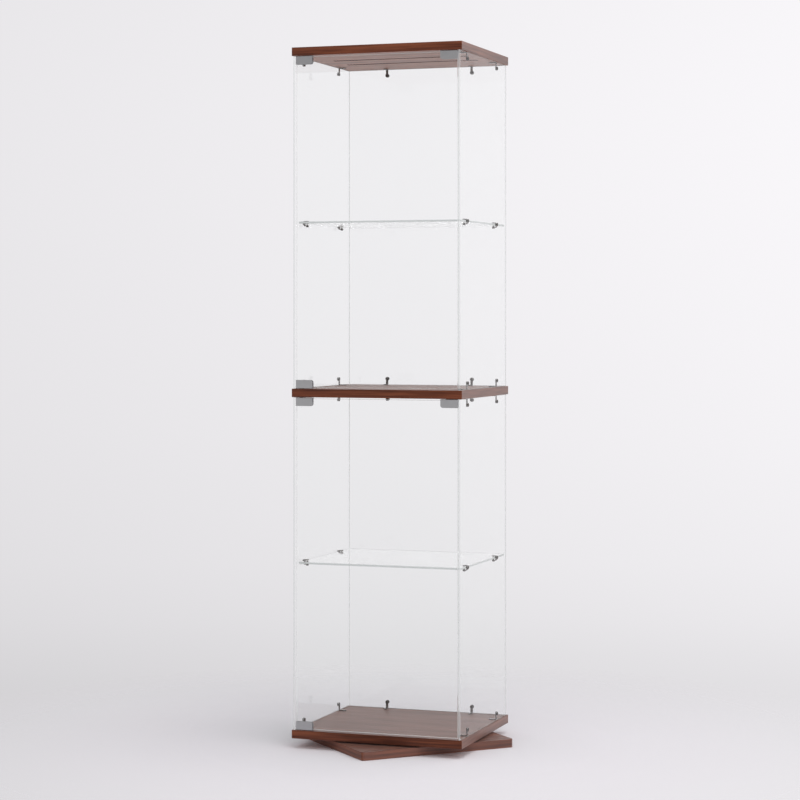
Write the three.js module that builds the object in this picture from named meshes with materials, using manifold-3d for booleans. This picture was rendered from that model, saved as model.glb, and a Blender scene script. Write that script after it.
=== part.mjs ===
// A revolving display cabinet: a glass case of two compartments on a ball turntable and a square base.
// Millimetres, +Z up. The origin is on the floor, on the axis that the case turns about.
// The front of the case faces -Y.
import * as THREE from "three";
import { mergeVertices } from "three/addons/utils/BufferGeometryUtils.js";
import Module from "manifold-3d";

const wasm = await Module();
wasm.setup();

// Driving dimensions of the case and its base
const caseWidth = 425;
const caseDepth = 375;
const boardThickness = 20;
const boardCornerRadius = 2;
const baseCornerRadius = 6.5;
const compartmentHeight = 791;
const baseSide = 397;
const baseTurnDegrees = 45.3;
const runningGap = 4;

// Fits and clearances
const seatGap = 0.3;
const holeClearance = 0.5;
const cutOverrun = 1;
const weldDistance = 0.0001;

// Glass
const glassThickness = 5;
const glassInset = 4;
const glassFrontInset = 0.5;
const doorInset = 4;
const doorSideGap = 2;
const doorEndGap = 3;
const shelfSideGap = 2.5;
const shelfSwingClearance = 1;

// Turntable between the base and the case
const turntableOuterRadius = 125;
const ringWidth = 41;
const raceInset = 15;
const raceWidth = 4.8;
const raceFloorWidth = 3.2;
const raceDepth = 0.9;
const ringThickness = 2.6;
const ballDiameter = 5;
const cageWidth = 11;
const cageThickness = 1.2;
const rimThickness = 2;
const rimLipReach = 3;
const rimLipThickness = 1.2;
const catchThickness = 1.6;
const catchClearance = 1;
const recessClearance = 2;
const ballCount = 16;
const ringSides = 32;

// Vent slots in the top board
const ventWidth = 5;
const ventLength = 15;
const ventPitch = 7.75;
const ventRowSpacing = 94;
const ventSideMargin = 46;

// Where the fittings stand
const rearBracketMargin = 103.5;
const sideBracketFrontMargin = 60.5;
const sideBracketRearMargin = 81.5;
const fittingShift = 8;

// Wall bracket: a strap bent to an L, a screw into the board and a bolt through the glass
const strapThickness = 2;
const strapWidth = 6;
const strapEndDiameter = 9;
const strapLength = 20;
const boltDiameter = 4;
const screwDiameter = 3;
const screwDepth = 8;
const headDiameter = 7;
const headThickness = 2.2;
const capDiameter = 9;
const capThickness = 2;

// Shelf clip: a fork bolted through the wall, with a clamp screw under the shelf
const clipWidth = 9;
const clipLength = 11.2;
const clipBackThickness = 1.8;
const clipJawThickness = 2.2;
const clampReach = 3;
const clampScrewDiameter = 4;
const clampHeadDiameter = 6;

// Folded metal clip on the corners of a door
const doorClipLength = 42;
const doorClipHeight = 20;
const doorClipThickness = 2.2;
const doorClipBridgeThickness = 1.8;
const doorClipOverhang = 0.5;
const doorClipCornerRadius = 6;
const pivotDiameter = 5;
const pivotLength = 8;
const pivotInset = 12;
const pivotWasherDiameter = 10;
const grubHeadDiameter = 6;
const grubHeadThickness = 1.4;

// Push latch under the board, behind the strike plate of each door
const latchWidth = 16;
const latchHeight = 13;
const latchDepth = 34;
const latchFlangeWidth = 32;
const latchFlangeDepth = 18;
const latchFlangeThickness = 2;
const plungerDiameter = 7.4;
const plungerLength = 32;
const plungerTipDiameter = 10;
const plungerTipThickness = 2.4;
const plungerTravel = 3;
const plungerClearance = 0.1;

// Sides of the small round pieces
const roundSides = 6;
const cornerSteps = 2;
const baseCornerSteps = 4;
const arcSteps = 6;
const ballRows = 4;

// Levels above the floor
const baseTop = boardThickness;
const bottomBoardBase = baseTop + runningGap;
const lowerFloor = bottomBoardBase + boardThickness;
const middleBoardBase = lowerFloor + compartmentHeight;
const upperFloor = middleBoardBase + boardThickness;
const topBoardBase = upperFloor + compartmentHeight;

// Faces of the glass, measured from the axis. The swing radius is that of a door's glass behind its pivot.
const wallOuterX = caseWidth / 2 - glassInset;
const wallInnerX = wallOuterX - glassThickness;
const wallOuterY = caseDepth / 2 - glassInset;
const wallInnerY = wallOuterY - glassThickness;
const wallFrontY = -(caseDepth / 2 - glassFrontInset);
const doorMidY = -(caseDepth / 2 - doorInset - glassThickness / 2);
const doorHalfWidth = wallInnerX - doorSideGap;
const doorSwingRadius = Math.hypot(pivotInset, glassThickness / 2);
const latchX = doorHalfWidth - doorClipLength / 2;
const hingeX = -doorHalfWidth + pivotInset;

const finishes = {
  board: { color: 0x4a2216, roughness: 0.35, metalness: 0 },
  glass: { color: 0xe8f2f0, roughness: 0.05, metalness: 0, transparent: true, opacity: 0.3 },
  satin: { color: 0x9a9a9c, roughness: 0.45, metalness: 0.9 },
  nickel: { color: 0xb8b6b2, roughness: 0.25, metalness: 1 },
  zinc: { color: 0x8c8f92, roughness: 0.5, metalness: 0.9 },
  cage: { color: 0x2b2b2d, roughness: 0.6, metalness: 0.2 },
  latch: { color: 0x2e2c2b, roughness: 0.55, metalness: 0 },
};

// A closed geometry as a solid, and a solid as a geometry again

function solidOf(geometry) {
  const bare = geometry.index ? geometry.toNonIndexed() : geometry.clone();
  bare.deleteAttribute("normal");
  bare.deleteAttribute("uv");
  const merged = mergeVertices(bare, weldDistance);
  return new wasm.Manifold(
    new wasm.Mesh({
      numProp: 3,
      vertProperties: merged.attributes.position.array,
      triVerts: new Uint32Array(merged.index.array),
    }),
  );
}

function geometryOf(solid) {
  const mesh = solid.getMesh();
  const geometry = new THREE.BufferGeometry();
  geometry.setAttribute("position", new THREE.BufferAttribute(mesh.vertProperties, mesh.numProp));
  geometry.setIndex(new THREE.BufferAttribute(mesh.triVerts, 1));
  geometry.computeVertexNormals();
  return geometry;
}

function joined(solids) {
  return solids.reduce((whole, piece) => whole.add(piece));
}

function cut(solid, tools) {
  return tools.reduce((left, tool) => left.subtract(tool), solid);
}

// A box between two corners
function block(low, high) {
  const size = high.map((value, axis) => value - low[axis]);
  const geometry = new THREE.BoxGeometry(...size);
  geometry.translate(...low.map((value, axis) => value + size[axis] / 2));
  return solidOf(geometry);
}

// A round bar along one axis, from one level to another, about the point at
function rod(axis, diameter, from, to, at) {
  const geometry = new THREE.CylinderGeometry(diameter / 2, diameter / 2, to - from, roundSides);
  if (axis === "x") geometry.rotateZ(-Math.PI / 2);
  if (axis === "z") geometry.rotateX(Math.PI / 2);
  const place = new THREE.Vector3(...at);
  place[axis] = (from + to) / 2;
  geometry.translate(place.x, place.y, place.z);
  return solidOf(geometry);
}

function extruded(shape, thickness, steps = cornerSteps) {
  return new THREE.ExtrudeGeometry(shape, { depth: thickness, bevelEnabled: false, curveSegments: steps });
}

function roundedRectangle(width, depth, radius) {
  const x = width / 2;
  const y = depth / 2;
  const shape = new THREE.Shape();
  shape.moveTo(-x + radius, -y);
  shape.lineTo(x - radius, -y);
  shape.absarc(x - radius, -y + radius, radius, -Math.PI / 2, 0);
  shape.lineTo(x, y - radius);
  shape.absarc(x - radius, y - radius, radius, 0, Math.PI / 2);
  shape.lineTo(-x + radius, y);
  shape.absarc(-x + radius, y - radius, radius, Math.PI / 2, Math.PI);
  shape.lineTo(-x, -y + radius);
  shape.absarc(-x + radius, -y + radius, radius, Math.PI, 1.5 * Math.PI);
  return shape;
}

// A ring about the turning axis from its section, listed as radius and height
function ring(section) {
  const points = [...section, section[0]].map(([radius, height]) => new THREE.Vector2(radius, height));
  const geometry = new THREE.LatheGeometry(points, ringSides);
  geometry.rotateX(Math.PI / 2);
  return geometry;
}

function mesh(name, geometry, finish) {
  const made = new THREE.Mesh(geometry, new THREE.MeshStandardMaterial({ ...finishes[finish] }));
  made.name = name;
  return made;
}

// Where the wall brackets and shelf clips stand: the wall, its place and how far it is turned

const rearStandX = caseWidth / 2 - rearBracketMargin;
const sideStands = [sideBracketFrontMargin - caseDepth / 2, caseDepth / 2 - sideBracketRearMargin];
const rearStands = [fittingShift - rearStandX, fittingShift + rearStandX];

const wallStands = [
  ...sideStands.map((y, i) => ({ wall: "left", number: i + 1, x: -wallInnerX, y, turn: 0 })),
  ...sideStands.map((y, i) => ({ wall: "right", number: i + 1, x: wallInnerX, y, turn: Math.PI })),
  ...rearStands.map((x, i) => ({ wall: "rear", number: i + 1, x, y: wallInnerY, turn: -Math.PI / 2 })),
];

const screwInset = strapLength - strapEndDiameter / 2;

// The point of a stand moved into the case by a distance
function inwardOf(stand, distance) {
  return [stand.x + distance * Math.cos(stand.turn), stand.y + distance * Math.sin(stand.turn)];
}

// Screw holes that the wall brackets need in a board's face; direction is +1 above the face
function bracketScrewHoles(faceZ, direction) {
  const diameter = screwDiameter + 2 * holeClearance;
  const inner = faceZ - direction * (screwDepth + seatGap);
  const outer = faceZ + direction * cutOverrun;
  return wallStands.map((stand) => {
    const [x, y] = inwardOf(stand, screwInset);
    return rod("z", diameter, Math.min(inner, outer), Math.max(inner, outer), [x, y, 0]);
  });
}

// The hole that a door's pivot pin turns in
function pivotHole(faceZ, direction) {
  const diameter = pivotDiameter + 2 * holeClearance;
  const inner = faceZ - direction * (pivotLength + seatGap);
  const outer = faceZ + direction * cutOverrun;
  return rod("z", diameter, Math.min(inner, outer), Math.max(inner, outer), [hingeX, doorMidY, 0]);
}

// The plunger's tip stands behind the strike plate, and the latch body behind the pushed-in tip
const jawInner = glassThickness / 2 + seatGap;
const jawOuter = jawInner + doorClipThickness;
const tipFront = doorMidY + jawOuter + seatGap;
const tipBack = tipFront + plungerTipThickness;
const latchFrontY = tipBack + plungerTravel + plungerClearance;
const latchScrewY = latchFrontY + latchDepth / 2;
const latchScrewXs = [-1, 1].map((side) => latchX + (side * (latchWidth + latchFlangeWidth)) / 4);

function latchScrewHoles(faceZ) {
  const diameter = screwDiameter + 2 * holeClearance;
  return latchScrewXs.map((x) =>
    rod("z", diameter, faceZ - cutOverrun, faceZ + screwDepth + seatGap, [x, latchScrewY, 0]),
  );
}

// Boards

function board(width, depth, radius = boardCornerRadius, steps = cornerSteps) {
  return extruded(roundedRectangle(width, depth, radius), boardThickness, steps);
}

function caseBoard(base, tools) {
  const geometry = board(caseWidth, caseDepth);
  geometry.translate(0, 0, base);
  return geometryOf(cut(solidOf(geometry), tools));
}

function ventSlots(base) {
  const count = Math.floor((caseWidth - 2 * ventSideMargin - ventWidth) / ventPitch) + 1;
  const firstX = fittingShift - ((count - 1) * ventPitch) / 2;
  const slots = [];
  for (const y of [-ventRowSpacing / 2, ventRowSpacing / 2]) {
    for (let i = 0; i < count; i += 1) {
      const x = firstX + i * ventPitch;
      slots.push(
        block(
          [x - ventWidth / 2, y - ventLength / 2, base - cutOverrun],
          [x + ventWidth / 2, y + ventLength / 2, base + boardThickness + cutOverrun],
        ),
      );
    }
  }
  return slots;
}

function makeBase() {
  const plate = mesh("base_plate", board(baseSide, baseSide, baseCornerRadius, baseCornerSteps), "board");
  plate.rotation.z = THREE.MathUtils.degToRad(baseTurnDegrees);
  return plate;
}

function makeBoards() {
  const recess = new THREE.CylinderGeometry(
    turntableOuterRadius + recessClearance,
    turntableOuterRadius + recessClearance,
    recessDepth + cutOverrun,
    ringSides,
  );
  recess.rotateX(Math.PI / 2);
  recess.translate(0, 0, bottomBoardBase + (recessDepth - cutOverrun) / 2);
  return [
    mesh(
      "bottom_panel",
      caseBoard(bottomBoardBase, [
        solidOf(recess),
        pivotHole(lowerFloor, 1),
        ...bracketScrewHoles(lowerFloor, 1),
      ]),
      "board",
    ),
    mesh(
      "middle_panel",
      caseBoard(middleBoardBase, [
        pivotHole(middleBoardBase, -1),
        pivotHole(upperFloor, 1),
        ...bracketScrewHoles(middleBoardBase, -1),
        ...bracketScrewHoles(upperFloor, 1),
        ...latchScrewHoles(middleBoardBase),
      ]),
      "board",
    ),
    mesh(
      "top_panel",
      caseBoard(topBoardBase, [
        ...ventSlots(topBoardBase),
        pivotHole(topBoardBase, -1),
        ...bracketScrewHoles(topBoardBase, -1),
        ...latchScrewHoles(topBoardBase),
      ]),
      "board",
    ),
  ];
}

// Turntable: two pressed rings, the upper one caught under the lip of the lower one, and a caged ball race.
// The balls stand in the gap between the races with the seat gap below and above them.

const turntableInnerRadius = turntableOuterRadius - ringWidth;
const raceRadius = turntableOuterRadius - raceInset;
const lowerRaceFloor = baseTop + ringThickness - raceDepth;
const ballBottom = lowerRaceFloor + seatGap;
const ballMid = ballBottom + ballDiameter / 2;
const upperRaceRoof = ballBottom + ballDiameter + seatGap;
const upperRingBase = upperRaceRoof - raceDepth;
const upperRingTop = upperRingBase + ringThickness;
const recessDepth = upperRingTop + seatGap - bottomBoardBase;

// The race as seen in a section, from the outer edge to the inner edge; depth is down or up
function raceSection(level, depth) {
  return [
    [raceRadius + raceWidth / 2, level],
    [raceRadius + raceFloorWidth / 2, level + depth],
    [raceRadius - raceFloorWidth / 2, level + depth],
    [raceRadius - raceWidth / 2, level],
  ];
}

function makeTurntable() {
  const lowerTop = baseTop + ringThickness;
  const lipTop = upperRingTop - rimLipThickness;
  const lipBase = lipTop - rimLipThickness;
  const lipRadius = turntableInnerRadius + rimThickness + rimLipReach;
  const lower = ring([
    [turntableInnerRadius, baseTop],
    [turntableOuterRadius, baseTop],
    [turntableOuterRadius, lowerTop],
    ...raceSection(lowerTop, -raceDepth),
    [turntableInnerRadius + rimThickness, lowerTop],
    [turntableInnerRadius + rimThickness, lipBase],
    [lipRadius, lipBase],
    [lipRadius, lipTop],
    [turntableInnerRadius, lipTop],
  ]);

  const webRadius = lipRadius + catchClearance;
  const catchRadius = turntableInnerRadius + rimThickness + catchClearance;
  const catchTop = lipBase - catchClearance;
  const catchBase = catchTop - rimLipThickness;
  const upper = ring([
    [webRadius, upperRingTop],
    [webRadius, catchTop],
    [catchRadius, catchTop],
    [catchRadius, catchBase],
    [webRadius + catchThickness, catchBase],
    [webRadius + catchThickness, upperRingBase],
    ...raceSection(upperRingBase, raceDepth).reverse(),
    [turntableOuterRadius, upperRingBase],
    [turntableOuterRadius, upperRingTop],
  ]);

  const cage = solidOf(
    ring([
      [raceRadius - cageWidth / 2, ballMid - cageThickness / 2],
      [raceRadius + cageWidth / 2, ballMid - cageThickness / 2],
      [raceRadius + cageWidth / 2, ballMid + cageThickness / 2],
      [raceRadius - cageWidth / 2, ballMid + cageThickness / 2],
    ]),
  );
  const halfSide = Math.PI / ringSides;
  const balls = [];
  for (let i = 0; i < ballCount; i += 1) {
    const angle = halfSide + (i * 2 * Math.PI) / ballCount;
    const ball = new THREE.SphereGeometry(ballDiameter / 2, roundSides, ballRows);
    ball.rotateX(Math.PI / 2);
    const reach = raceRadius * Math.cos(halfSide);
    ball.translate(reach * Math.cos(angle), reach * Math.sin(angle), ballMid);
    balls.push(solidOf(ball));
  }
  return [
    mesh("turntable_lower_ring", lower, "zinc"),
    mesh("turntable_upper_ring", upper, "zinc"),
    mesh("turntable_ball_cage", geometryOf(joined([cage, ...balls])), "cage"),
  ];
}

// Fixed glass: each pane is a block with the bolt holes of its brackets and shelf clips

function boltHole(stand, z) {
  const diameter = boltDiameter + 2 * holeClearance;
  const axis = stand.wall === "rear" ? "y" : "x";
  const outward = axis === "x" ? wallOuterX * Math.sign(stand.x) : wallOuterY;
  const inward = axis === "x" ? wallInnerX * Math.sign(stand.x) : wallInnerY;
  const from = Math.min(outward, inward) - cutOverrun;
  const to = Math.max(outward, inward) + cutOverrun;
  return rod(axis, diameter, from, to, [stand.x, stand.y, z]);
}

function makeWalls(level, floorZ) {
  const shelfZ = floorZ + compartmentHeight / 2;
  const low = floorZ + seatGap;
  const high = floorZ + compartmentHeight - seatGap;
  const corners = {
    left: [[-wallOuterX, wallFrontY, low], [-wallInnerX, wallOuterY, high]],
    right: [[wallInnerX, wallFrontY, low], [wallOuterX, wallOuterY, high]],
    rear: [[-wallInnerX + seatGap, wallInnerY, low], [wallInnerX - seatGap, wallOuterY, high]],
  };
  return Object.entries(corners).map(([wall, [lowCorner, highCorner]]) => {
    const stands = wallStands.filter((stand) => stand.wall === wall);
    const heights = [floorZ + screwInset, floorZ + compartmentHeight - screwInset];
    if (wall !== "rear") heights.push(shelfZ);
    const holes = stands.flatMap((stand) => heights.map((z) => boltHole(stand, z)));
    const pane = cut(block(lowCorner, highCorner), holes);
    return mesh(`${level}_${wall}_wall_glass`, geometryOf(pane), "glass");
  });
}

function makeShelf(level, floorZ) {
  const shelfZ = floorZ + compartmentHeight / 2;
  const x = wallInnerX - shelfSideGap;
  const pane = block(
    [-x, doorMidY + doorSwingRadius + shelfSwingClearance, shelfZ - glassThickness / 2],
    [x, wallInnerY - shelfSideGap, shelfZ + glassThickness / 2],
  );
  return mesh(`${level}_shelf_glass`, geometryOf(pane), "glass");
}

// One wall bracket. Its own origin is where the inner face of the glass meets the board; +X points
// into the case and +Z away from the board.

function strap() {
  const end = strapLength - strapEndDiameter / 2;
  const neck = Math.asin(strapWidth / strapEndDiameter);
  const shape = new THREE.Shape();
  shape.moveTo(seatGap, -strapWidth / 2);
  shape.absarc(end, 0, strapEndDiameter / 2, -Math.PI + neck, Math.PI - neck);
  shape.lineTo(seatGap, strapWidth / 2);
  return shape;
}

function bracketSolid() {
  const foot = extruded(strap(), strapThickness, arcSteps);
  foot.translate(0, 0, seatGap);
  const leg = extruded(strap(), strapThickness, arcSteps);
  leg.rotateY(-Math.PI / 2);
  leg.translate(seatGap + strapThickness, 0, 0);
  const face = seatGap + strapThickness;
  const outside = -(glassThickness + seatGap);
  return joined([
    solidOf(foot),
    solidOf(leg),
    rod("z", headDiameter, face - strapThickness / 2, face + headThickness, [screwInset, 0, 0]),
    rod("z", screwDiameter, -screwDepth, face, [screwInset, 0, 0]),
    rod("x", headDiameter, face - strapThickness / 2, face + headThickness, [0, 0, screwInset]),
    rod("x", boltDiameter, outside - capThickness / 2, face, [0, 0, screwInset]),
    rod("x", capDiameter, outside - capThickness, outside, [0, 0, screwInset]),
  ]);
}

function makeBrackets(level, floorZ) {
  const geometry = geometryOf(bracketSolid());
  const ends = [
    { end: "bottom", z: floorZ, flip: 1 },
    { end: "top", z: floorZ + compartmentHeight, flip: -1 },
  ];
  return ends.flatMap(({ end, z, flip }) =>
    wallStands.map((stand) => {
      const name = `${level}_${stand.wall}_wall_${end}_bracket_${stand.number}`;
      const bracket = mesh(name, geometry, "nickel");
      bracket.position.set(stand.x, stand.y, z);
      bracket.rotation.z = stand.turn;
      bracket.scale.z = flip;
      return bracket;
    }),
  );
}

// One shelf clip. Its own origin is on the inner face of the wall at the middle of the shelf's
// thickness; +X points into the case.

function shelfClipSolid() {
  const y = clipWidth / 2;
  const jawBase = glassThickness / 2 + seatGap;
  const jawTop = jawBase + clipJawThickness;
  const armTop = -(glassThickness / 2 + clampReach);
  const armBase = armTop - clipJawThickness;
  const clampX = clipLength - clampHeadDiameter / 2;
  const outside = -(glassThickness + seatGap);
  return joined([
    block([seatGap, -y, armBase], [seatGap + clipBackThickness, y, jawTop]),
    block([seatGap, -y, jawBase], [clipLength, y, jawTop]),
    block([seatGap, -y, armBase], [clipLength, y, armTop]),
    rod("z", clampScrewDiameter, armBase - clipJawThickness / 2, -jawBase, [clampX, 0, 0]),
    rod("z", clampHeadDiameter, armBase - clipJawThickness, armBase + clipJawThickness / 2, [clampX, 0, 0]),
    rod("x", boltDiameter, outside - capThickness / 2, seatGap + clipBackThickness / 2, [0, 0, 0]),
    rod("x", capDiameter, outside - capThickness, outside, [0, 0, 0]),
  ]);
}

function makeShelfClips(level, floorZ) {
  const geometry = geometryOf(shelfClipSolid());
  const sideOnly = wallStands.filter((stand) => stand.wall !== "rear");
  return sideOnly.map((stand) => {
    const clip = mesh(`${level}_shelf_${stand.wall}_clip_${stand.number}`, geometry, "nickel");
    clip.position.set(stand.x, stand.y, floorZ + compartmentHeight / 2);
    clip.rotation.z = stand.turn;
    return clip;
  });
}

// The folded clip of a door. Its own origin is at the board's face above the end of the clip;
// +X runs along the door, +Z points at the board, and Y is zero at the middle of the glass.

const clipTop = doorClipBridgeThickness + seatGap - doorEndGap;

function jaw() {
  const base = clipTop - doorClipHeight;
  const corner = doorClipLength - doorClipCornerRadius;
  const shape = new THREE.Shape();
  shape.moveTo(0, clipTop);
  shape.lineTo(0, base);
  shape.lineTo(corner, base);
  shape.absarc(corner, base + doorClipCornerRadius, doorClipCornerRadius, -Math.PI / 2, 0);
  shape.lineTo(doorClipLength, clipTop);
  return shape;
}

function doorClipSolid() {
  const faces = [-jawInner, jawOuter].map((y) => {
    const plate = extruded(jaw(), doorClipThickness, arcSteps / 2);
    plate.rotateX(Math.PI / 2);
    plate.translate(0, y, 0);
    return solidOf(plate);
  });
  const bridge = block(
    [0, -jawOuter, clipTop - doorClipBridgeThickness],
    [doorClipLength, jawOuter, clipTop],
  );
  return joined([...faces, bridge]);
}

function hingeClipSolid() {
  const pivotX = pivotInset + doorClipOverhang;
  const grubZ = clipTop - doorClipHeight / 2;
  const grubFrom = jawInner + doorClipThickness / 2;
  const grubTo = jawOuter + grubHeadThickness;
  const grubXs = [pivotX, doorClipLength - pivotX];
  const grubs = grubXs.map((x) => rod("y", grubHeadDiameter, grubFrom, grubTo, [x, 0, grubZ]));
  return joined([
    doorClipSolid(),
    rod("z", pivotWasherDiameter, clipTop - doorClipBridgeThickness / 2, -seatGap, [pivotX, 0, 0]),
    rod("z", pivotDiameter, clipTop - doorClipBridgeThickness / 2, pivotLength, [pivotX, 0, 0]),
    ...grubs,
  ]);
}

function makeDoor(level, floorZ) {
  const ceilingZ = floorZ + compartmentHeight;
  const pane = block(
    [-doorHalfWidth, doorMidY - glassThickness / 2, floorZ + doorEndGap],
    [doorHalfWidth, doorMidY + glassThickness / 2, ceilingZ - doorEndGap],
  );
  const hingeGeometry = geometryOf(hingeClipSolid());
  const topHinge = mesh(`${level}_door_top_hinge_clip`, hingeGeometry, "satin");
  topHinge.position.set(-doorHalfWidth - doorClipOverhang, doorMidY, ceilingZ);
  const bottomHinge = mesh(`${level}_door_bottom_hinge_clip`, hingeGeometry, "satin");
  bottomHinge.position.set(-doorHalfWidth - doorClipOverhang, doorMidY, floorZ);
  bottomHinge.scale.z = -1;
  const strike = mesh(`${level}_door_strike_plate`, geometryOf(doorClipSolid()), "satin");
  strike.position.set(doorHalfWidth, doorMidY, ceilingZ);
  strike.scale.x = -1;
  return [mesh(`${level}_door_glass`, geometryOf(pane), "glass"), topHinge, bottomHinge, strike];
}

// Push latch: a body screwed under the board and a plunger that the strike plate meets

function makeLatch(level, ceilingZ) {
  const plungerZ = ceilingZ - seatGap - latchHeight / 2;
  const bodyTop = ceilingZ - seatGap;
  const plungerBack = tipBack + plungerLength;
  const boreEnd = plungerBack + plungerTravel + seatGap;
  const boreDiameter = plungerDiameter + 2 * holeClearance;
  const flangeFrom = latchScrewY - latchFlangeDepth / 2;
  const flangeTo = latchScrewY + latchFlangeDepth / 2;
  const screws = latchScrewXs.flatMap((x) => [
    rod("z", screwDiameter, bodyTop - latchFlangeThickness, ceilingZ + screwDepth, [x, latchScrewY, 0]),
    rod(
      "z",
      headDiameter,
      bodyTop - latchFlangeThickness - headThickness,
      bodyTop - latchFlangeThickness / 2,
      [x, latchScrewY, 0],
    ),
  ]);
  const shell = joined([
    block(
      [latchX - latchWidth / 2, latchFrontY, bodyTop - latchHeight],
      [latchX + latchWidth / 2, latchFrontY + latchDepth, bodyTop],
    ),
    block(
      [latchX - latchFlangeWidth / 2, flangeFrom, bodyTop - latchFlangeThickness],
      [latchX + latchFlangeWidth / 2, flangeTo, bodyTop],
    ),
    ...screws,
  ]);
  const bore = rod("y", boreDiameter, latchFrontY - cutOverrun, boreEnd, [latchX, 0, plungerZ]);
  const plunger = joined([
    rod("y", plungerTipDiameter, tipFront, tipBack, [latchX, 0, plungerZ]),
    rod("y", plungerDiameter, tipBack - plungerTipThickness / 2, plungerBack, [latchX, 0, plungerZ]),
  ]);
  return [
    mesh(`${level}_latch_body`, geometryOf(cut(shell, [bore])), "latch"),
    mesh(`${level}_latch_plunger`, geometryOf(plunger), "zinc"),
  ];
}

const cabinet = new THREE.Group();
cabinet.add(makeBase(), ...makeTurntable(), ...makeBoards());
for (const [level, floorZ] of [["lower", lowerFloor], ["upper", upperFloor]]) {
  const compartment = new THREE.Group();
  compartment.add(
    ...makeWalls(level, floorZ),
    makeShelf(level, floorZ),
    ...makeBrackets(level, floorZ),
    ...makeShelfClips(level, floorZ),
    ...makeDoor(level, floorZ),
    ...makeLatch(level, floorZ + compartmentHeight),
  );
  cabinet.add(compartment);
}

export default cabinet;
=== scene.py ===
import math

import bmesh
import bpy
from bpy.props import FloatProperty, FloatVectorProperty, IntProperty, PointerProperty
from mathutils import Matrix, Vector


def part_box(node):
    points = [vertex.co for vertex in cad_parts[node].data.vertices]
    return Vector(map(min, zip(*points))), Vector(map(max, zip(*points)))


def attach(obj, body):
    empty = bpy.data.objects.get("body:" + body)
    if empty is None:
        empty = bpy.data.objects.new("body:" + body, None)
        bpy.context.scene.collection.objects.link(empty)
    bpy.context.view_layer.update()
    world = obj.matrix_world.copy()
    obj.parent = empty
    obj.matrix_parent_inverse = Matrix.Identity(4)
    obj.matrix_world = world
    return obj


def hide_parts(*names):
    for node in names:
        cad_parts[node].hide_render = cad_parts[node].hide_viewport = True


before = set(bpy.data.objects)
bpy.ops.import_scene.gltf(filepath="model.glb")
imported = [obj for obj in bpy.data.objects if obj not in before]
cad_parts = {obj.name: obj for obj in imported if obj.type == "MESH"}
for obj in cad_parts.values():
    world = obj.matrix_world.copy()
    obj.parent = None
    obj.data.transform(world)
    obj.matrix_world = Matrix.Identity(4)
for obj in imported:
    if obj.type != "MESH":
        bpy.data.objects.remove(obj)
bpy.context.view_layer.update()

bl_info = {
    "name": "Revolving glass cabinet",
    "version": (1, 0, 0),
    "blender": (4, 5, 0),
    "location": "3D View > Sidebar > Cabinet",
    "description": "Dresses the packed cabinet with bevelled boards, glass, metal fittings and a studio",
    "category": "Object",
}

MM = 0.001

# Levels and faces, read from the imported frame

LEVELS = ("lower", "upper")
FLOOR = {"lower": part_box("bottom_panel")[1].z, "upper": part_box("middle_panel")[1].z}
CEILING = {"lower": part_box("middle_panel")[0].z, "upper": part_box("top_panel")[0].z}
WALL_INNER_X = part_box("lower_right_wall_glass")[0].x
WALL_OUTER_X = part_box("lower_right_wall_glass")[1].x
WALL_INNER_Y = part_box("lower_rear_wall_glass")[0].y
GLASS = WALL_OUTER_X - WALL_INNER_X
DOOR_LOW, DOOR_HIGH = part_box("lower_door_glass")
DOOR_Y = (DOOR_LOW.y + DOOR_HIGH.y) / 2
SEAT = 0.3 * MM

# Sizes of the fittings and of the studio


def mm(*lengths):
    """Lengths, or tuples of lengths, from millimetres."""
    return [tuple(v * MM for v in length) if isinstance(length, tuple) else length * MM for length in lengths]


SLOT_CORNER, SLOT_EDGE = mm(1.6, 0.45)
RACE_RADIUS, RACE_REACH, RACE_DEPTH, RECESS_GAP = mm(110, 2.4, 0.9, 2)
BALLS = 16
BRACKET_BOLT, BORE_RADIUS, SHANK_RADIUS = mm(15.5, 2.5, 1.9)
HEAD_RADIUS, HEAD_HEIGHT, CAP_RADIUS, CAP_HEIGHT = mm(3.5, 2.2, 4.5, 2)
SCREW_RADIUS, SCREW_DEPTH, FLANK = mm(1.5, 8, 0.3)
SUNK, LEAST_RADIUS = mm(0.1, 0.02)
CLIP_LENGTH = 42 * MM
GLASS_IOR = 1.5
FLOOR_RADIUS, FLOOR_FADE = 1.3, (0.5, 1.25)
LAMP_WIDTH, LAMP_HEIGHT = 4.0, 3.0
CAMERA_SPOT, CAMERA_TURN = (1.8676, -5.3267, 1.0303), math.radians(19.37)
SHARP_ANGLE = math.radians(35)
HERE = Matrix.Identity(4)

# Sizes and colours that a user would change


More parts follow.
